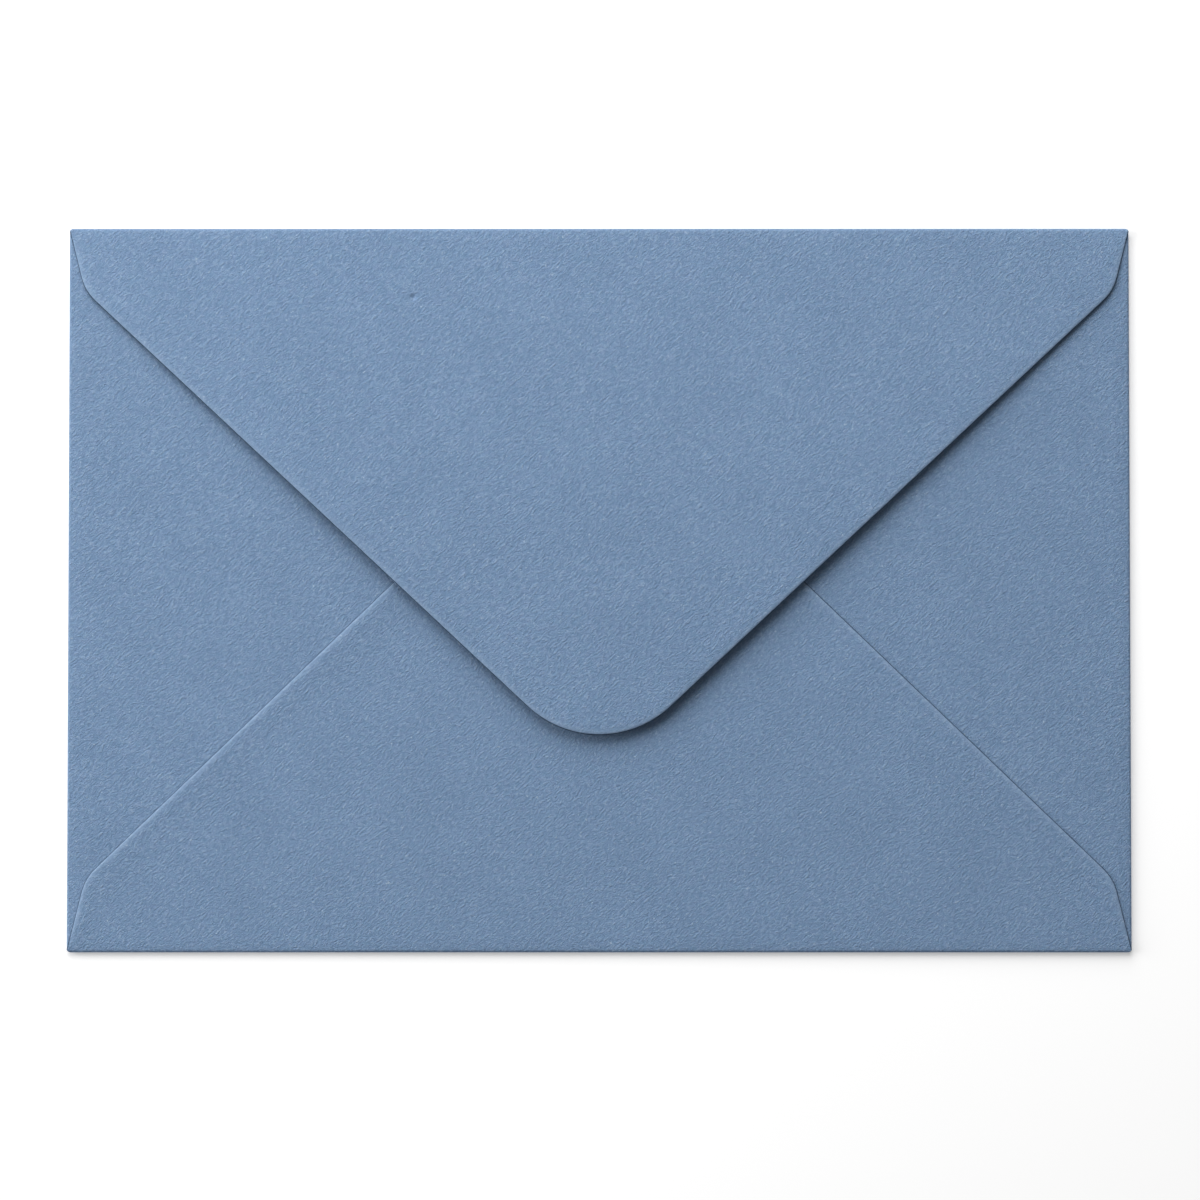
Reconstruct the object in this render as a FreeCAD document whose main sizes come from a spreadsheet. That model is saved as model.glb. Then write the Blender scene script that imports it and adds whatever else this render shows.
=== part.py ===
import FreeCAD, Part
import math
import os
import Sketcher

# A paper envelope, empty and closed, lying on its address side with its flaps up. It is one sheet of
# paper: the front panel, two side flaps folded in, the bottom flap folded up and glued over them, and
# the top flap folded down over everything, not stuck, so that it springs up a little.
# X runs along the top fold, Y up the envelope, Z up from the table. The origin is on the table, under
# the middle of the front panel. Sizes are in millimetres.

doc = FreeCAD.newDocument("PaperEnvelope")
sizes = doc.addObject("Spreadsheet::Sheet", "Sizes")

driving_sizes = {
    # The closed envelope and its paper.
    "envelope_width": 176,
    "envelope_height": 120,
    "paper_thickness": 0.2,
    # Air between the front panel and the side flaps, the room that a letter takes.
    "pocket_gap": 0.5,
    # Top flap: how near its tip comes to the bottom fold, and its cut outline.
    "tip_above_bottom_fold": 36,
    "top_tip_radius": 17,
    "top_shoulder_inset": 2.55,
    "top_shoulder_drop": 10.15,
    # Top flap: its room over the side flaps at the fold, and how far its tip stands off the bottom flap.
    "top_fold_clearance": 0.1,
    "top_tip_lift": 2.1,
    # Bottom flap: how far its tip stays below the top fold, and its cut outline.
    "tip_below_top_fold": 35.8,
    "bottom_tip_radius": 25,
    "bottom_shoulder_inset": 2.9,
    "bottom_shoulder_rise": 11.9,
    # Side flaps: how far they reach under the top flap and under the glued bottom flap.
    "throat_lap": 11,
    "glue_lap": 10,
    "side_tip_radius": 17,
    "side_upper_shoulder": 2,
    "side_lower_shoulder": 4,
    # Rounded shoulders of all flaps, the trimmed ends of the folds, and the slit beside each side fold.
    "shoulder_radius": 8,
    "fold_corner_trim": 0.65,
    "corner_slit": 0.15,
    # Paper beyond the outline, which the cut takes off.
    "trim_allowance": 2,
}

for row, (alias, size) in enumerate(driving_sizes.items(), start=1):
    sizes.set(f"A{row}", alias)
    sizes.set(f"B{row}", str(size))
    sizes.setAlias(f"B{row}", alias)
doc.recompute()


# Sizes that follow from the driving ones. Each is an expression, written once.

half_width = "(Sizes.envelope_width / 2)"
half_height = "(Sizes.envelope_height / 2)"

# Outer radius of each fold's turn: half of the gap that it spans, and the paper.
side_turn = "(Sizes.pocket_gap / 2 + Sizes.paper_thickness)"
bottom_turn = "((Sizes.pocket_gap + Sizes.paper_thickness) / 2 + Sizes.paper_thickness)"
top_turn = (
    "((Sizes.pocket_gap + Sizes.paper_thickness + Sizes.top_fold_clearance) / 2"
    " + Sizes.paper_thickness)"
)

top_depth = "(Sizes.envelope_height - Sizes.tip_above_bottom_fold)"
bottom_depth = "(Sizes.envelope_height - Sizes.tip_below_top_fold)"


def slanted_edge(depth, tip_radius, inset, drop):
    # The straight edge from a flap's shoulder to its round tip: its slope, and the depth below the fold
    # at which the left and right edges would meet if the tip weren't rounded.
    run = f"({half_width} - {inset})"
    fall = f"({depth} - {tip_radius} - {drop})"
    slope = f"(atan({fall} / {run}) + asin({tip_radius} / hypot({run}; {fall})))"
    meeting_depth = f"({drop} + {run} * tan({slope}))"
    return slope, meeting_depth


top_slope, top_meeting = slanted_edge(
    top_depth, "Sizes.top_tip_radius", "Sizes.top_shoulder_inset", "Sizes.top_shoulder_drop")
bottom_slope, bottom_meeting = slanted_edge(
    bottom_depth, "Sizes.bottom_tip_radius", "Sizes.bottom_shoulder_inset", "Sizes.bottom_shoulder_rise")


def value(expression):
    result = sizes.evalExpression(expression)
    return getattr(result, "Value", result)


def attach(sketch, body, role):
    plane = [f for f in body.Origin.OriginFeatures if f.Role == role][0]
    sketch.AttachmentSupport = [(plane, "")]
    sketch.MapMode = "FlatFace"


def bind(sketch, kind, *place, to):
    # One dimension of a sketch, held by an expression.
    start = value(to)
    if kind == "Radius":
        index = sketch.addConstraint(Sketcher.Constraint(kind, *place, start))
    else:
        index = sketch.addConstraint(Sketcher.Constraint(kind, -1, 1, *place, start))
    sketch.setExpression(f"Constraints[{index}]", to)


# How every flap is made. A flap is drawn with its fold towards +Y, as the top flap lies, and turned to
# its own side afterwards. The folded sheet comes from its section, and the cut outline trims it.

def cut_outline(name, corners):
    # Upright block of the flap's outline. corners holds x, y and the corner's radius, as expressions.
    body = doc.addObject("PartDesign::Body", name)
    sketch = body.newObject("Sketcher::SketchObject", name + "_sketch")
    attach(sketch, body, "XY_Plane")
    points = [FreeCAD.Vector(value(x), value(y), 0) for x, y, radius in corners]
    count = len(points)
    for i in range(count):
        sketch.addGeometry(Part.LineSegment(points[i], points[(i + 1) % count]))
    for i in range(count):
        sketch.addConstraint(Sketcher.Constraint("Coincident", i, 2, (i + 1) % count, 1))
    for i, (x, y, radius) in enumerate(corners):
        bind(sketch, "DistanceX", i, 1, to=x)
        bind(sketch, "DistanceY", i, 1, to=y)
    block = body.newObject("PartDesign::Pad", name + "_block")
    block.Profile = sketch
    block.setExpression("Length", "Sizes.trim_allowance + Sizes.top_tip_lift + 8 * Sizes.paper_thickness"
                                  " + Sizes.pocket_gap + Sizes.top_fold_clearance")
    doc.recompute()

    rounded = block
    for size in sorted({radius for x, y, radius in corners if radius}):
        edges = []
        for i, edge in enumerate(rounded.Shape.Edges, start=1):
            for point, (x, y, radius) in zip(points, corners):
                ends = [v.Point for v in edge.Vertexes]
                upright = all(math.hypot(e.x - point.x, e.y - point.y) < 1e-6 for e in ends)
                if radius == size and upright:
                    edges.append(f"Edge{i}")
        fillet = body.newObject("PartDesign::Fillet", name + "_" + size.split(".")[1])
        fillet.Base = (rounded, edges)
        fillet.setExpression("Radius", size)
        doc.recompute()
        rounded = fillet
    return body


def folded_sheet(name, fold, turn, end, length, arch=None):
    # The turn at the fold and the flap that runs on from it, as one section drawn along the fold. fold
    # and end are distances from the envelope's middle. A flat flap has lines, and one with an arch,
    # given as the height of its top, the radius and the place of its middle, has long arcs.
    body = doc.addObject("PartDesign::Body", name)
    sketch = body.newObject("Sketcher::SketchObject", name + "_section")
    attach(sketch, body, "YZ_Plane")
    paper = "Sizes.paper_thickness"
    outer = value(turn)
    inner = outer - value(paper)
    middle = FreeCAD.Vector(value(fold) - outer, outer, 0)
    upwards = FreeCAD.Vector(0, 0, 1)
    quarter = math.pi / 2
    far = value(end)

    if arch:
        crown, radius, place = arch
        centre = FreeCAD.Vector(value(place), value(crown) - value(radius), 0)
        lean = math.atan2(middle.x - centre.x, middle.y - centre.y)
        back = math.asin((centre.x - far) / value(radius))
        long_arcs = []
        for reach in (value(radius), value(radius) - value(paper)):
            circle = Part.Circle(centre, upwards, reach)
            long_arcs.append(Part.ArcOfCircle(circle, quarter - lean, quarter + back))
        top_run, under_run = long_arcs
        top_end, under_end = top_run.EndPoint, under_run.EndPoint
    else:
        lean = 0
        top_end = FreeCAD.Vector(far, 2 * outer, 0)
        under_end = FreeCAD.Vector(far, outer + inner, 0)
        top_run = Part.LineSegment(FreeCAD.Vector(middle.x, 2 * outer, 0), top_end)
        under_run = Part.LineSegment(FreeCAD.Vector(middle.x, outer + inner, 0), under_end)

    outside = sketch.addGeometry(
        Part.ArcOfCircle(Part.Circle(middle, upwards, outer), -quarter, quarter - lean))
    top = sketch.addGeometry(top_run)
    tip = sketch.addGeometry(Part.LineSegment(top_end, under_end))
    under = sketch.addGeometry(under_run)
    inside = sketch.addGeometry(
        Part.ArcOfCircle(Part.Circle(middle, upwards, inner), -quarter, quarter - lean))
    root = sketch.addGeometry(Part.LineSegment(
        middle - FreeCAD.Vector(0, inner, 0), middle - FreeCAD.Vector(0, outer, 0)))

    for constraint in (
        ("Coincident", outside, 3, inside, 3),
        ("Tangent", outside, 2, top, 1),
        ("Coincident", top, 2, tip, 1),
        ("Coincident", tip, 2, under, 2),
        ("Tangent", inside, 2, under, 1),
        ("Coincident", inside, 1, root, 1),
        ("Coincident", root, 2, outside, 1),
        ("Vertical", tip),
        ("Vertical", root),
        ("Vertical", outside, 1, outside, 3),
    ):
        sketch.addConstraint(Sketcher.Constraint(*constraint))
    bind(sketch, "Radius", outside, to=turn)
    bind(sketch, "Radius", inside, to=f"{turn} - {paper}")
    bind(sketch, "DistanceX", outside, 3, to=f"{fold} - {turn}")
    bind(sketch, "DistanceY", outside, 3, to=turn)
    bind(sketch, "DistanceX", top, 2, to=end)
    if arch:
        sketch.addConstraint(Sketcher.Constraint("Coincident", top, 3, under, 3))
        bind(sketch, "Radius", top, to=radius)
        bind(sketch, "DistanceX", top, 3, to=place)
    else:
        sketch.addConstraint(Sketcher.Constraint("Horizontal", top))
        sketch.addConstraint(Sketcher.Constraint("Horizontal", under))

    sheet = body.newObject("PartDesign::Pad", name + "_run")
    sheet.Profile = sketch
    sheet.SideType = "Symmetric"
    sheet.setExpression("Length", length)
    doc.recompute()
    return body


def flap(name, sheet, outline, quarter_turns=0):
    # The folded sheet inside its cut outline, turned about Z to its side of the envelope.
    trimmed = doc.addObject("Part::Common", name)
    trimmed.Base = sheet
    trimmed.Tool = outline
    turned = FreeCAD.Rotation(FreeCAD.Vector(0, 0, 1), 90 * quarter_turns)
    trimmed.Placement = FreeCAD.Placement(FreeCAD.Vector(), turned)
    return trimmed


def closing_corners(depth_meeting, tip_radius, inset, drop):
    # Outline of a flap that spans the envelope's width: trimmed fold corners, shoulders and the tip.
    trim = "Sizes.fold_corner_trim"
    spare = "Sizes.trim_allowance"
    right = [
        (f"{half_width} - {trim} - {spare}", f"{half_height} + {spare}", None),
        (half_width, f"{half_height} - {trim}", None),
        (f"{half_width} - {inset}", f"{half_height} - {drop}", "Sizes.shoulder_radius"),
    ]
    tip = ("0", f"{half_height} - {depth_meeting}", tip_radius)
    left = [(f"-({x})", y, radius) for x, y, radius in reversed(right)]
    return right + [tip] + left


# Front panel, the address side: flat paper up to where the four folds begin to turn.

front_panel = doc.addObject("Part::Box", "front_panel")
front_panel.setExpression("Length", f"2 * ({half_width} - {side_turn})")
front_panel.setExpression("Width", f"Sizes.envelope_height - {top_turn} - {bottom_turn}")
front_panel.setExpression("Height", "Sizes.paper_thickness")
front_panel.setExpression("Placement.Base.x", f"{side_turn} - {half_width}")
front_panel.setExpression("Placement.Base.y", f"{bottom_turn} - {half_height}")


# Top flap: it closes the envelope. Its section is one long arch from the fold to the level tip, because
# the fold springs back a little and the paper bends under its own weight.

tip_level = (
    "(Sizes.pocket_gap + 4 * Sizes.paper_thickness + Sizes.top_tip_lift)"
)
arch_run = f"({top_depth} - {top_turn})"
arch_radius = (
    f"((({arch_run})^2 + ({tip_level} - {top_turn})^2 - {top_turn}^2)"
    f" / (2 * ({tip_level} - 2 * {top_turn})))"
)
top_flap = flap(
    "top_flap",
    folded_sheet(
        "top_sheet", half_height, top_turn,
        f"{half_height} - {top_depth} - Sizes.trim_allowance",
        "Sizes.envelope_width + 2 * Sizes.trim_allowance",
        arch=(tip_level, arch_radius, f"{half_height} - {top_depth}")),
    cut_outline("top_outline", closing_corners(
        top_meeting, "Sizes.top_tip_radius", "Sizes.top_shoulder_inset", "Sizes.top_shoulder_drop")))


# Bottom flap: it lies flat on both side flaps, where its slanted edges are glued down.

bottom_flap = flap(
    "bottom_flap",
    folded_sheet(
        "bottom_sheet", half_height, bottom_turn,
        f"{half_height} - {bottom_depth} - Sizes.trim_allowance",
        "Sizes.envelope_width + 2 * Sizes.trim_allowance"),
    cut_outline("bottom_outline", closing_corners(
        bottom_meeting, "Sizes.bottom_tip_radius", "Sizes.bottom_shoulder_inset",
        "Sizes.bottom_shoulder_rise")),
    quarter_turns=2)


# Side flaps: their upper edge runs beside the top flap's edge and stays hidden under it, and their lower
# edge runs under the bottom flap's by the glue lap. Drawn with the fold towards +Y, the right flap's
# upper end is towards -X.

upper_lap = f"(Sizes.throat_lap / cos({top_slope}))"
lower_lap = f"(Sizes.glue_lap / cos({bottom_slope}))"
side_meeting = (
    f"(({top_meeting} + {bottom_meeting} - Sizes.envelope_height - {upper_lap} - {lower_lap})"
    f" / (tan({top_slope}) + tan({bottom_slope})))"
)
upper_shoulder = f"(({top_meeting} - Sizes.side_upper_shoulder - {upper_lap}) / tan({top_slope}))"
lower_shoulder = f"(({bottom_meeting} - Sizes.side_lower_shoulder - {lower_lap}) / tan({bottom_slope}))"
meeting_height = f"({half_height} - {top_meeting} + {upper_lap} + {side_meeting} * tan({top_slope}))"
upper_end = f"({half_height} - {top_turn} - Sizes.corner_slit)"
lower_end = f"({half_height} - {bottom_turn} - Sizes.corner_slit)"
side_reach = f"{half_width} + Sizes.trim_allowance"

right_flap = flap(
    "right_flap",
    folded_sheet(
        "side_sheet", half_width, side_turn, f"{side_meeting} - Sizes.trim_allowance",
        "Sizes.envelope_height"),
    cut_outline("side_outline", [
        (f"-{upper_end}", side_reach, None),
        (f"-{upper_end}", f"{half_width} - {side_turn}", None),
        (f"Sizes.side_upper_shoulder - {half_height}", upper_shoulder, "Sizes.shoulder_radius"),
        (f"-{meeting_height}", side_meeting, "Sizes.side_tip_radius"),
        (f"{half_height} - Sizes.side_lower_shoulder", lower_shoulder, "Sizes.shoulder_radius"),
        (lower_end, f"{half_width} - {side_turn}", None),
        (lower_end, side_reach, None),
    ]),
    quarter_turns=3)

left_flap = doc.addObject("Part::Mirroring", "left_flap")
left_flap.Source = right_flap
left_flap.Normal = FreeCAD.Vector(1, 0, 0)
doc.recompute()


# The envelope: the panels and flaps are one sheet, and the glue closes the bottom flap's seams.

envelope = doc.addObject("Part::MultiFuse", "envelope")
envelope.Shapes = [front_panel, left_flap, right_flap, bottom_flap, top_flap]
envelope.Refine = True
envelope.Label = "envelope"
doc.recompute()


for item in doc.Objects:
    if "Invalid" in item.State or "Error" in item.State:
        raise RuntimeError(f"{item.Label} failed: {item.State}")
shape = envelope.Shape
if shape.isNull() or not shape.isValid() or len(shape.Solids) != 1:
    raise RuntimeError("the envelope is not one valid solid")

os.makedirs("parts", exist_ok=True)
shape.exportStep(f"parts/{envelope.Label}.step")
box = shape.BoundBox
print(f"envelope: {len(shape.Faces)} faces, {shape.Volume:.1f} mm3, "
      f"{box.XLength:.2f} x {box.YLength:.2f} x {box.ZLength:.2f} mm, from z {box.ZMin:.3f}")
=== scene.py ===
import math
import bmesh
import bpy
from mathutils import Matrix, Vector, kdtree, noise


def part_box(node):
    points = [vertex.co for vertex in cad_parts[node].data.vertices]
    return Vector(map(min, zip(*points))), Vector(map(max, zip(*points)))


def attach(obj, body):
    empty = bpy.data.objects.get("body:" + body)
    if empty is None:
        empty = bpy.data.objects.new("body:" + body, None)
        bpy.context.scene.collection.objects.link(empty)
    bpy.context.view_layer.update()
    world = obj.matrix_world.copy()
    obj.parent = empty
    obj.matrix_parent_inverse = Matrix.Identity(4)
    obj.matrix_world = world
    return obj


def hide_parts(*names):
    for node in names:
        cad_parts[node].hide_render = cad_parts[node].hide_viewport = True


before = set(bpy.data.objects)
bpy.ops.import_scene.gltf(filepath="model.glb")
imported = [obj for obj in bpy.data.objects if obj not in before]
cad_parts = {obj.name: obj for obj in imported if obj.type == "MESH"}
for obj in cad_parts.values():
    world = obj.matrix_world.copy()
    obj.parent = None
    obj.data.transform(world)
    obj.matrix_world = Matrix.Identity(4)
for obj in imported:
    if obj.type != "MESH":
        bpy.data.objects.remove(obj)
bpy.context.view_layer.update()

# The sheet. The whole envelope is one die-cut sheet of blue writing paper, creased and folded four
# times. It is drawn on the middle of the paper's thickness: the front panel first, then each fold's
# turn and its flap, row by row, out of the panel's edge.

MM = 0.001

low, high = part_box("envelope")
half_width = (high[0] - low[0]) / 2
half_height = (high[1] - low[1]) / 2
paper = 0.2 * MM
pocket_gap = 0.5 * MM
fold_clearance = 0.1 * MM

side_turn = pocket_gap / 2 + paper
bottom_turn = (pocket_gap + paper) / 2 + paper
top_turn = (pocket_gap + paper + fold_clearance) / 2 + paper

# Columns lie closer together beside the cut edges, where the die has pressed the paper down.
rim_steps = [step * MM for step in (0, 0.07, 0.14, 0.23, 0.34, 0.48, 0.75, 1.15, 1.7, 2.4)]
width_columns = 84
height_columns = 58


def columns(start, end, count):
    # count + 1 places from start to end. Where a row gets short, at a tip, the rim steps shrink with it.
    span = end - start
    shrink = (span / 2) / (span / 2 + 2 * rim_steps[-1])
    rim = [step * shrink for step in rim_steps]
    inner = count - 2 * (len(rim) - 1)
    run = span - 2 * rim[-1]
    middle = [start + rim[-1] + run * i / inner for i in range(1, inner)]
    return [start + r for r in rim] + middle + [end - r for r in reversed(rim)]


sheet = bmesh.new()
# Two marks for the rims: how far each is pressed, which is also painted lighter as a partly painted
# highlight, and how far it is crushed thin, which is also painted dark as painted shade.
pressed_and_highlit = sheet.verts.layers.float.new("pressed_and_highlit")
crushed_and_shaded = sheet.verts.layers.float.new("crushed_and_shaded")
weights = sheet.verts.layers.deform.verify()
full_thickness = 0
bmesh.ops.create_grid(sheet, x_segments=width_columns, y_segments=height_columns, size=0.5)
panel_x = columns(side_turn - half_width, half_width - side_turn, width_columns)
panel_y = columns(bottom_turn - half_height, half_height - top_turn, height_columns)
for vert in sheet.verts:
    i = round((vert.co.x + 0.5) * width_columns)
    j = round((vert.co.y + 0.5) * height_columns)
    vert.co = (panel_x[i], panel_y[j], paper / 2)


# Cut edges. Each side of a flap's outline runs from the fold along a steep slant to a rounded shoulder,
# then straight to the rounded tip. Depths are measured from the fold, places along it from the middle.

def rounded_corner(before, corner, after, radius):
    # Where a fillet starts and ends on the two straight edges, and its centre.
    a = (before - corner).normalized()
    b = (after - corner).normalized()
    half_angle = a.angle(b) / 2
    reach = radius / math.tan(half_angle)
    centre = corner + (a + b).normalized() * radius / math.sin(half_angle)
    return corner + a * reach, corner + b * reach, centre


class CutEdge:
    """One side of a flap's outline, from the fold to the farthest point of its tip."""

    def __init__(self, root, shoulder, tip, opposite, shoulder_radius, tip_radius):
        self.root, self.shoulder_radius, self.tip_radius = root, shoulder_radius, tip_radius
        self.side = math.copysign(1, root.y - tip.y)
        self.shoulder = rounded_corner(root, shoulder, tip, shoulder_radius)
        self.tip = rounded_corner(shoulder, tip, opposite, tip_radius)

    def place(self, depth):
        # Where the paper is cut at a depth: how far from the flap's middle, with its side's sign.
        start, end, centre = self.shoulder
        tip_start, _, tip_centre = self.tip
        if depth <= start.x:
            return self.root.lerp(start, (depth - self.root.x) / (start.x - self.root.x)).y
        if depth <= end.x:
            return centre.y + self.side * math.sqrt(self.shoulder_radius ** 2 - (depth - centre.x) ** 2)
        if depth <= tip_start.x:
            return end.lerp(tip_start, (depth - end.x) / (tip_start.x - end.x)).y
        over = min(depth - tip_centre.x, self.tip_radius)
        return tip_centre.y + self.side * math.sqrt(self.tip_radius ** 2 - over ** 2)


def spaced(start, end, step):
    count = max(1, round((end - start) / step))
    return [start + (end - start) * i / count for i in range(1, count + 1)]


row_step = 2.0 * MM
shoulder_step = 0.7 * MM
tip_rows = 16


def flap_depths(start, edge):
    # Rows of a flap: close together round the shoulder, and closer and closer round the tip.
    shoulder_start, shoulder_end, _ = edge.shoulder
    tip_start, _, tip_centre = edge.tip
    depths = spaced(start, shoulder_start.x, row_step)
    depths += spaced(shoulder_start.x, shoulder_end.x, shoulder_step)
    depths += spaced(shoulder_end.x, tip_start.x, row_step)
    first = math.asin((tip_start.x - tip_centre.x) / edge.tip_radius)
    for i in range(1, tip_rows + 1):
        angle = first + (math.pi / 2 - first) * i / tip_rows
        depths.append(tip_centre.x + edge.tip_radius * math.sin(angle))
    return depths


turn_rows = 10
corner_trim = 0.65 * MM
same_place = 0.01 * MM


def draw_flap(fold, quarter_turns, turn, edges, level, trim=0.0, lean=0.0):
    # Spins the front panel's edge round the fold and draws the flap out of it. The flap is laid out with
    # its fold towards +Y and turned to its own side. trim rounds the fold's two ends, and lean is how far
    # the turn stays short of a full half turn, where the flap springs up. Returns the flap's rows of
    # vertices and their depths, the last row of the turn first.
    to_side = Matrix.Rotation(quarter_turns * math.pi / 2, 4, "Z")
    to_fold = to_side.inverted()
    line = fold - turn
    row = [v for v in sheet.verts
           if abs((to_fold @ v.co).y - line) < same_place and abs(v.co.z - paper / 2) < same_place]
    row.sort(key=lambda v: (to_fold @ v.co).x)
    panel_start = (to_fold @ row[0].co).x
    panel_end = (to_fold @ row[-1].co).x
    fold_start, fold_end = (edge.place(turn) for edge in edges)

    rows = []
    middle_radius = turn - paper / 2
    for i in range(1, turn_rows + 1):
        angle = -math.pi / 2 + (math.pi - lean) * i / turn_rows
        if angle < 0:
            share = 1 + math.sin(angle)
            start = panel_start + (fold_start + trim - panel_start) * share
            end = panel_end + (fold_end - trim - panel_end) * share
        else:
            start = fold_start + trim * (1 - math.sin(angle))
            end = fold_end - trim * (1 - math.sin(angle))
        rows.append((start, end, line + middle_radius * math.cos(angle),
                     turn + middle_radius * math.sin(angle)))
    for depth in flap_depths(fold - rows[-1][2], edges[0]):
        rows.append((edges[0].place(depth), edges[1].place(depth), fold - depth, level(depth)))

    count = len(row) - 1
    flap = []
    for i, (start, end, y, z) in enumerate(rows):
        borders = [e for a, b in zip(row, row[1:]) for e in a.link_edges if e.other_vert(a) is b]
        drawn = bmesh.ops.extrude_edge_only(sheet, edges=borders)["geom"]
        row = [g for g in drawn if isinstance(g, bmesh.types.BMVert)]
        row.sort(key=lambda v: (to_fold @ v.co).x)
        for vert, x in zip(row, columns(start, end, count)):
            vert.co = to_side @ Vector((x, y, z))
        if i >= turn_rows - 1:
            flap.append((fold - y, row))
    return flap


# How a cut edge lies: pressed down gently over the last two millimetres, and sharply at the very edge,
# where the die crushes the paper thin and the colour is painted dark as painted shade. Each press has a
# width and a depth.
rim_presses = ((1.9 * MM, 0.14 * MM), (0.48 * MM, 0.17 * MM))
smooth_width = 1.1 * MM
press_start = 3 * MM
crushed_width = 0.3 * MM
sample_step = 0.05 * MM


def press_rim(flap, glued_lift=0.0, lift_width=8 * MM):
    # Lowers the flap's rim by its distance from the cut edge, thins it at the edge, and marks how far it
    # is pressed smooth and painted lighter, partly as a painted highlight, and where it is crushed thin
    # and painted dark as painted shade. glued_lift is how far a glued flap rides up on the paper under it
    # beside its edge.
    outline = [row[0].co.xy for depth, row in flap] + [row[-1].co.xy for depth, row in reversed(flap)]
    samples = []
    for a, b in zip(outline, outline[1:]):
        pieces = max(1, math.ceil((b - a).length / sample_step))
        samples += [a.lerp(b, i / pieces) for i in range(pieces)]
    tree = kdtree.KDTree(len(samples))
    for i, point in enumerate(samples):
        tree.insert((point.x, point.y, 0), i)
    tree.balance()
    fold_depth = flap[0][0]
    for depth, row in flap:
        share = min(1, (depth - fold_depth) / press_start)
        for vert in row:
            distance = tree.find((vert.co.x, vert.co.y, 0))[2]
            press = sum(drop * max(0, 1 - distance / width) ** 2 for width, drop in rim_presses)
            lift = glued_lift * max(0, 1 - distance / lift_width) ** 2
            vert.co.z += share * (lift - press)
            vert[pressed_and_highlit] = share * max(0, 1 - distance / smooth_width)
            vert[crushed_and_shaded] = max(0, 1 - distance / crushed_width)
            vert[weights][full_thickness] = math.sqrt(1 - vert[crushed_and_shaded] ** 2)


def swell(flap, height, size, seed):
    # Paper never lies quite flat: low broad swellings, none at the fold.
    for depth, row in flap[1:]:
        share = min(1, (depth - flap[0][0]) / size)
        for vert in row:
            vert.co.z += share * height * noise.noise(Vector((vert.co.x / size, vert.co.y / size, seed)))


def meeting_depth(depth, tip_radius, inset, drop):
    # Where the left and right edges of a flap as deep as this would meet if the tip weren't rounded.
    run = half_width - inset
    fall = depth - tip_radius - drop
    slope = math.atan(fall / run) + math.asin(tip_radius / math.hypot(run, fall))
    return drop + run * math.tan(slope), slope


root_inset = 0.08 * MM
shoulder_radius = 8 * MM


def closing_edges(depth, tip_radius, inset, drop):
    # Left and right cut edges of a flap that spans the envelope's width. Its shoulders lie in from the
    # envelope's sides by the inset, and down from the fold by the drop.
    meeting, slope = meeting_depth(depth, tip_radius, inset, drop)
    edges = []
    for side in (-1, 1):
        edges.append(CutEdge(
            Vector((corner_trim, side * (half_width - root_inset))),
            Vector((drop, side * (half_width - inset))),
            Vector((meeting, 0)), Vector((drop, -side * (half_width - inset))),
            shoulder_radius, tip_radius))
    return edges, meeting, slope


# Side flaps. They fold in first. Their hidden edges run beside the closing flaps' edges: the upper one
# under the top flap, the lower one under the bottom flap, where the glue holds it.

# The closing flaps' tips end short of the fold across from theirs.
top_tip_short = 35.92 * MM
bottom_tip_short = 35.8 * MM
top_depth = 2 * half_height - top_tip_short
top_edges, top_meeting, top_slope = closing_edges(
    top_depth, tip_radius=17.3 * MM, inset=2.6 * MM, drop=10.5 * MM)
bottom_depth = 2 * half_height - bottom_tip_short
bottom_edges, bottom_meeting, bottom_slope = closing_edges(
    bottom_depth, tip_radius=25.3 * MM, inset=2.97 * MM, drop=12.25 * MM)

throat_lap = 11 * MM
glue_lap = 10 * MM
side_tip_radius = 17 * MM
upper_shoulder_drop = 2 * MM
lower_shoulder_rise = 4 * MM
corner_slit = 0.15 * MM

upper_lap = throat_lap / math.cos(top_slope)
lower_lap = glue_lap / math.cos(bottom_slope)
side_meeting = ((top_meeting + bottom_meeting - 2 * half_height - upper_lap - lower_lap)
                / (math.tan(top_slope) + math.tan(bottom_slope)))
side_tip = Vector((
    half_width - side_meeting,
    half_height - top_meeting + upper_lap + side_meeting * math.tan(top_slope)))
upper_shoulder = Vector((
    half_width - (top_meeting - upper_shoulder_drop - upper_lap) / math.tan(top_slope),
    half_height - upper_shoulder_drop))
lower_shoulder = Vector((
    half_width - (bottom_meeting - lower_shoulder_rise - lower_lap) / math.tan(bottom_slope),
    lower_shoulder_rise - half_height))
upper_root = Vector((side_turn, half_height - top_turn - corner_slit))
lower_root = Vector((side_turn, bottom_turn + corner_slit - half_height))

side_level = 2 * side_turn - paper / 2
lower_swelling = {"height": 0.06 * MM, "size": 26 * MM, "seed": 1}
for quarter_turns in (1, -1):
    facing = Vector((1, quarter_turns))
    corners = [
        (root * facing, shoulder * facing, side_tip * facing, opposite * facing)
        for root, shoulder, opposite in (
            (lower_root, lower_shoulder, upper_shoulder), (upper_root, upper_shoulder, lower_shoulder))]
    corners.sort(key=lambda c: c[0].y)
    edges = [CutEdge(*c, shoulder_radius, side_tip_radius) for c in corners]
    side_flap = draw_flap(half_width, quarter_turns, side_turn, edges, lambda depth: side_level)
    swell(side_flap, **lower_swelling)


# Bottom flap. It folds up over the side flaps and lies on them, with its two slanted edges glued down,
# so that they show as two fine seams. Its round tip is hidden under the top flap.

bottom_level = 2 * bottom_turn - paper / 2
bottom_flap = draw_flap(
    half_height, 2, bottom_turn, bottom_edges, lambda depth: bottom_level, trim=corner_trim)
swell(bottom_flap, **lower_swelling)
press_rim(bottom_flap, glued_lift=0.28 * MM)


# Top flap. It folds down last and isn't stuck. The fold springs back a little, so the flap leaves it on
# a slope and arches over to its tip, which lies level and stands clear of the bottom flap.

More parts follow.
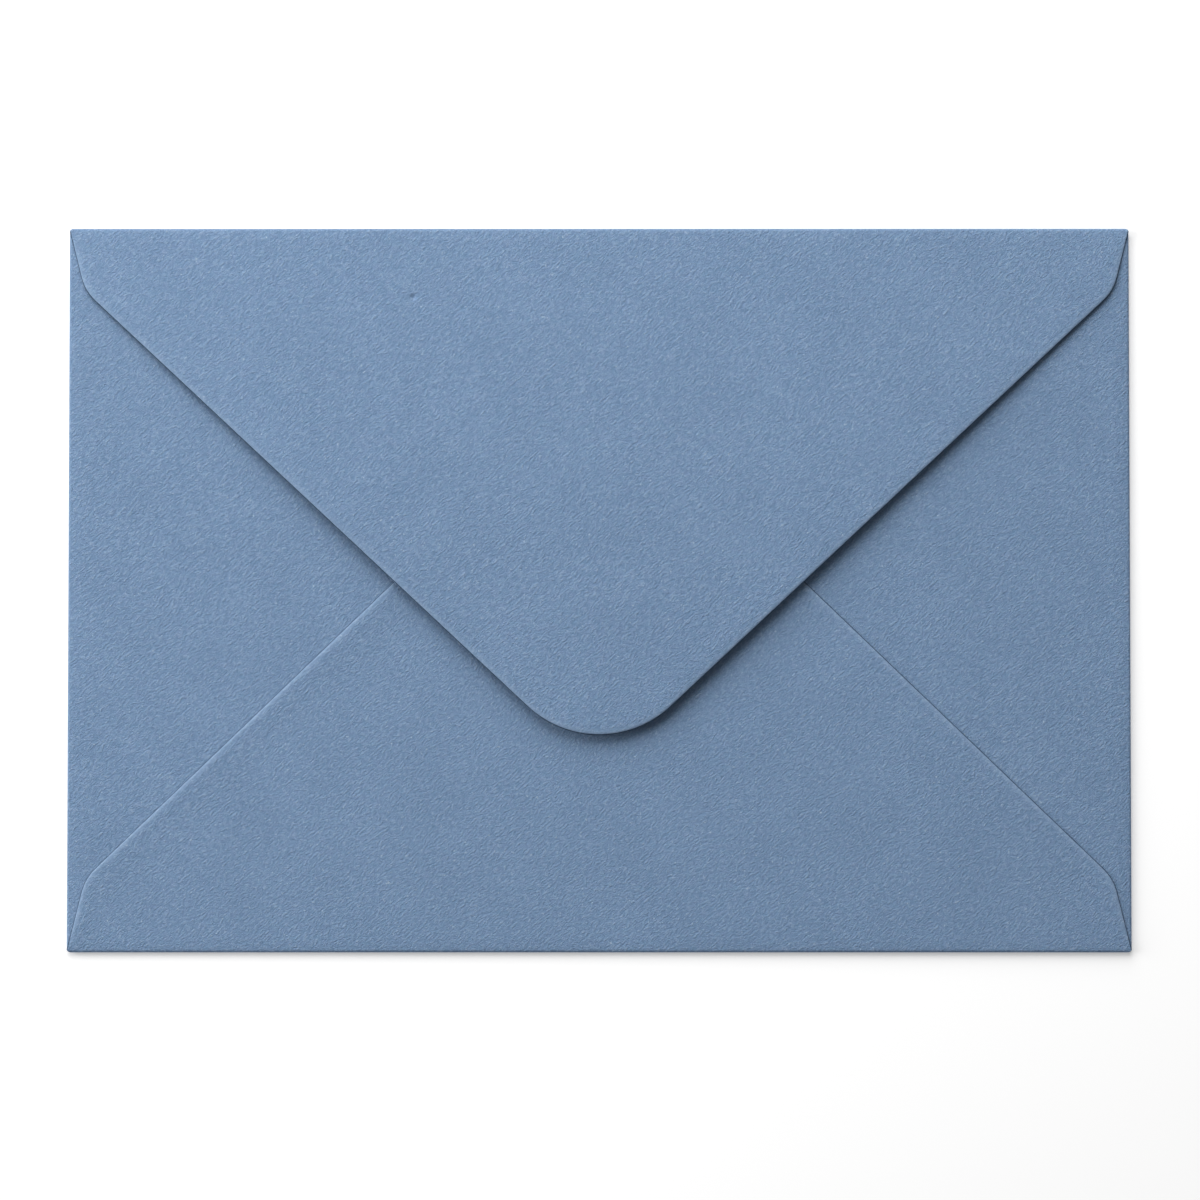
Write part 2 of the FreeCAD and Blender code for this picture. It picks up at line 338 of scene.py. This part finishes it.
tip_lift = 2.1 * MM
tip_height = pocket_gap + 4 * paper + tip_lift
arch_run = top_depth - top_turn
arch_rise = tip_height - 2 * top_turn
arch_radius = (arch_run ** 2 + (tip_height - top_turn) ** 2 - top_turn ** 2) / (2 * arch_rise)
lean = math.asin(arch_run / (arch_radius - top_turn))


def arch_level(depth):
    along = top_depth - depth
    return tip_height - arch_radius + math.sqrt((arch_radius - paper / 2) ** 2 - along ** 2)


top_flap = draw_flap(half_height, 0, top_turn, top_edges, arch_level, trim=corner_trim, lean=lean)
swell(top_flap, height=0.12 * MM, size=30 * MM, seed=7)
press_rim(top_flap)

# One small dent near the top fold, left of the middle, with a slanting hollow. Its upper wall is broader
# than its lower one, and its cells are cut fine so that the hollow is smooth.
dent_place = Vector((-30.75 * MM, 48.4 * MM))
dent_reach = 1.6 * MM
dent_cuts = 23
dent_depth = 0.3 * MM
dent_long = 0.5 * MM
dent_upper_wall = 0.64 * MM
dent_lower_wall = 0.4 * MM
dent_slant = math.radians(52)
top_verts = {vert for depth, row in top_flap for vert in row}
dent_faces = [
    face for face in sheet.faces
    if (face.calc_center_median().xy - dent_place).length < dent_reach and set(face.verts) <= top_verts]
dent_edges = list(dict.fromkeys(edge for face in dent_faces for edge in face.edges))
cells = bmesh.ops.subdivide_edges(sheet, edges=dent_edges, cuts=dent_cuts, use_grid_fill=True)
slant = Vector((math.cos(dent_slant), math.sin(dent_slant)))
for vert in {g for g in cells["geom_inner"] if isinstance(g, bmesh.types.BMVert)}:
    away = vert.co.xy - dent_place
    along, across = away.dot(slant), away.cross(slant)
    breadth = dent_lower_wall if across > 0 else dent_upper_wall
    vert.co.z -= dent_depth * math.exp(-(along / dent_long) ** 2 - (across / breadth) ** 2)


# The finished sheet. Its tips are closed and the paper is given its thickness, thinner at the crushed
# rims. It is one piece of soft paper that stands for the whole packed envelope.

weld_distance = 0.005 * MM
crushed_share = 0.15
bmesh.ops.remove_doubles(sheet, verts=sheet.verts, dist=weld_distance)
bmesh.ops.recalc_face_normals(sheet, faces=sheet.faces)
for vert in sheet.verts:
    if full_thickness not in vert[weights]:
        vert[weights][full_thickness] = 1
mesh = bpy.data.meshes.new("envelope_sheet")
sheet.to_mesh(mesh)
sheet.free()
for polygon in mesh.polygons:
    polygon.use_smooth = True
envelope = bpy.data.objects.new("envelope_sheet", mesh)
bpy.context.scene.collection.objects.link(envelope)
envelope.vertex_groups.new(name="full_thickness")
thickness = envelope.modifiers.new("thickness", "SOLIDIFY")
thickness.thickness = paper
thickness.offset = 0
thickness.vertex_group = "full_thickness"
thickness.thickness_vertex_group = crushed_share
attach(envelope, "root")
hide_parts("envelope")


# Paper finish: dyed in the mass, matt, with the fine slanting marks of a felt pressed into it. The fibres
# take the dye unevenly, so that some look greener and some more violet, and bright specks are painted
# glints.

finish = bpy.data.materials.new("blue_felt_paper")
finish.use_nodes = True
nodes = finish.node_tree.nodes
links = finish.node_tree.links
shader = nodes["Principled BSDF"]
shader.inputs["Roughness"].default_value = 0.85
shader.inputs["Specular IOR Level"].default_value = 0.2

place = nodes.new("ShaderNodeTexCoord").outputs["Object"]


def turned(angle, stretch):
    # Coordinates turned to an angle, with what is drawn on them stretched along it.
    node = nodes.new("ShaderNodeMapping")
    node.vector_type = "TEXTURE"
    node.inputs["Rotation"].default_value = (0, 0, math.radians(angle))
    node.inputs["Scale"].default_value = (stretch, 1, 1)
    links.new(place, node.inputs["Vector"])
    return node.outputs["Vector"]


def cloud(scale, detail, roughness=0.5, distortion=0.0, source=place):
    # A cloudy value over the paper, with so many clouds to a metre.
    node = nodes.new("ShaderNodeTexNoise")
    node.inputs["Scale"].default_value = scale
    node.inputs["Detail"].default_value = detail
    node.inputs["Roughness"].default_value = roughness
    node.inputs["Distortion"].default_value = distortion
    links.new(source, node.inputs["Vector"])
    return node.outputs["Fac"]


def summed(first, second, weight):
    # first + second * weight
    node = nodes.new("ShaderNodeMath")
    node.operation = "MULTIPLY_ADD"
    links.new(second, node.inputs[0])
    node.inputs[1].default_value = weight
    links.new(first, node.inputs[2])
    return node.outputs[0]


def spread(value, low, high, to_low=0.0, to_high=1.0):
    # Stretches the range low to high of a value over to_low to to_high, and clips what lies outside.
    node = nodes.new("ShaderNodeMapRange")
    for socket, number in (("From Min", low), ("From Max", high), ("To Min", to_low), ("To Max", to_high)):
        node.inputs[socket].default_value = number
    links.new(value, node.inputs["Value"])
    return node.outputs["Result"]


def mixed(share, first, second):
    # Colour mix of two colours or sockets.
    node = nodes.new("ShaderNodeMix")
    node.data_type = "RGBA"
    for name, source in (("Factor", share), ("A", first), ("B", second)):
        socket = [i for i in node.inputs if i.name == name and i.enabled][0]
        if isinstance(source, bpy.types.NodeSocket):
            links.new(source, socket)
        else:
            socket.default_value = source
    return [o for o in node.outputs if o.enabled][0]


def marked(name):
    # How strongly the sheet is marked at a place, such as pressed and painted lighter, or crushed and
    # painted with shade.
    node = nodes.new("ShaderNodeAttribute")
    node.attribute_name = name
    return node.outputs["Fac"]


felt = cloud(scale=3600, detail=2, roughness=0.6, distortion=0.5, source=turned(42, stretch=2.6))
cross_felt = cloud(scale=3600, detail=1, distortion=0.5, source=turned(-35, stretch=2))
tooth = cloud(scale=4600, detail=2, roughness=0.6)
height = summed(summed(felt, cross_felt, 0.5), tooth, 0.7)

green_blue = (0.182, 0.300, 0.463, 1)
violet_blue = (0.198, 0.293, 0.468, 1)
# Pale blue: painted highlight on the grain's ridges and painted glints; along the rims partly their
# pressed tone and partly a painted highlight.
pale_fibre_and_highlight = (0.42, 0.52, 0.64, 1)
# Deep blue: painted shade in the grain's hollows, and the dye's own broad mottling.
deep_dye_and_hollow_shade = (0.09, 0.16, 0.27, 1)
# Near-black blue: painted shade along the cut edges.
painted_cut_shade = (0.035, 0.065, 0.11, 1)

# Tint of the fibres; painted shade in the grain's hollows and painted highlight on its ridges; bright
# specks painted in as glints; and broad faint mottling.
colour = mixed(spread(cloud(scale=1000, detail=3), 0.33, 0.67, 0.15, 0.85), green_blue, violet_blue)
grain = summed(felt, tooth, 0.8)
colour = mixed(spread(grain, 0.70, 0.95, 0.35, 0.0), colour, deep_dye_and_hollow_shade)
colour = mixed(spread(grain, 0.90, 1.15, 0.0, 0.35), colour, pale_fibre_and_highlight)
colour = mixed(spread(cloud(scale=2400, detail=1), 0.685, 0.79, 0.0, 0.7), colour, pale_fibre_and_highlight)
colour = mixed(spread(cloud(scale=90, detail=4), 0.35, 0.65, 0.0, 0.10), colour, deep_dye_and_hollow_shade)

# Along the cut edges the paper is pressed smoother and painted lighter, partly its own pressed tone and
# partly a painted highlight along the rims; the cut itself is painted dark as painted shade.
rim = marked("pressed_and_highlit")
colour = mixed(spread(rim, 0, 0.8, 0.0, 0.15), colour, pale_fibre_and_highlight)
colour = mixed(spread(marked("crushed_and_shaded"), 0.3, 0.6, 0.0, 0.95), colour, painted_cut_shade)
links.new(colour, shader.inputs["Base Color"])

relief_height = 0.18 * MM
relief = nodes.new("ShaderNodeBump")
relief.inputs["Distance"].default_value = relief_height
links.new(height, relief.inputs["Height"])
links.new(spread(rim, 0, 0.8, 1.0, 0.3), relief.inputs["Strength"])
links.new(relief.outputs["Normal"], shader.inputs["Normal"])
envelope.data.materials.append(finish)


# Table. A broad white board, quite matt. The camera, also through gloss and glass, sees it a shade
# lighter than it is lit, so that it looks white round the envelope's shadow.

table_size = 4.0
table_white = (0.9, 0.9, 0.9, 1)
seen_glow = 0.25
table = bmesh.new()
bmesh.ops.create_grid(table, x_segments=1, y_segments=1, size=table_size)
table_mesh = bpy.data.meshes.new("table")
table.to_mesh(table_mesh)
table.free()
table_top = bpy.data.objects.new("table", table_mesh)
bpy.context.scene.collection.objects.link(table_top)
white = bpy.data.materials.new("white_table")
white.use_nodes = True
table_shader = white.node_tree.nodes["Principled BSDF"]
table_shader.inputs["Base Color"].default_value = table_white
table_shader.inputs["Roughness"].default_value = 1
table_shader.inputs["Specular IOR Level"].default_value = 0
table_shader.inputs["Emission Color"].default_value = (1, 1, 1, 1)
path = white.node_tree.nodes.new("ShaderNodeLightPath")
seen = path.outputs["Is Camera Ray"]
for ray in ("Is Glossy Ray", "Is Transmission Ray"):
    either = white.node_tree.nodes.new("ShaderNodeMath")
    either.operation = "MAXIMUM"
    white.node_tree.links.new(seen, either.inputs[0])
    white.node_tree.links.new(path.outputs[ray], either.inputs[1])
    seen = either.outputs[0]
glow = white.node_tree.nodes.new("ShaderNodeMath")
glow.operation = "MULTIPLY"
glow.inputs[1].default_value = seen_glow
white.node_tree.links.new(seen, glow.inputs[0])
white.node_tree.links.new(glow.outputs[0], table_shader.inputs["Emission Strength"])
table_mesh.materials.append(white)


# Light and camera. A broad soft light shines from beyond the top fold and a second one from the left,
# with a little fill from the room, and the camera looks down nearly straight.

def soft_light(name, distance, azimuth, elevation, size, power):
    # A round soft light that faces the envelope from the given direction.
    lamp = bpy.data.lights.new(name, "AREA")
    lamp.shape = "DISK"
    lamp.size = size
    lamp.energy = power
    item = bpy.data.objects.new(name, lamp)
    bpy.context.scene.collection.objects.link(item)
    azimuth, elevation = math.radians(azimuth), math.radians(elevation)
    item.location = distance * Vector((
        math.cos(elevation) * math.cos(azimuth), math.cos(elevation) * math.sin(azimuth),
        math.sin(elevation)))
    item.rotation_euler = (-item.location).to_track_quat("-Z", "Y").to_euler()


soft_light("main_light", distance=0.78, azimuth=101, elevation=36, size=0.84, power=7.1)
soft_light("left_light", distance=0.8, azimuth=172, elevation=25, size=0.63, power=4.4)

room_light = 0.18
world = bpy.data.worlds.new("room")
world.use_nodes = True
world.node_tree.nodes["Background"].inputs["Color"].default_value = (1, 1, 1, 1)
world.node_tree.nodes["Background"].inputs["Strength"].default_value = room_light
bpy.context.scene.world = world
bpy.context.scene.view_settings.view_transform = "Standard"

camera_place = Vector((0.59, -19.98, 600)) * MM
camera_tilt = math.radians(1.743)
camera_roll = math.radians(0.043)
camera_data = bpy.data.cameras.new("camera")
camera_data.sensor_width = 36
camera_data.lens = 108.55
camera = bpy.data.objects.new("camera", camera_data)
camera.location = camera_place
camera.rotation_euler = (camera_tilt, camera_roll, 0)
bpy.context.scene.collection.objects.link(camera)
bpy.context.scene.camera = camera
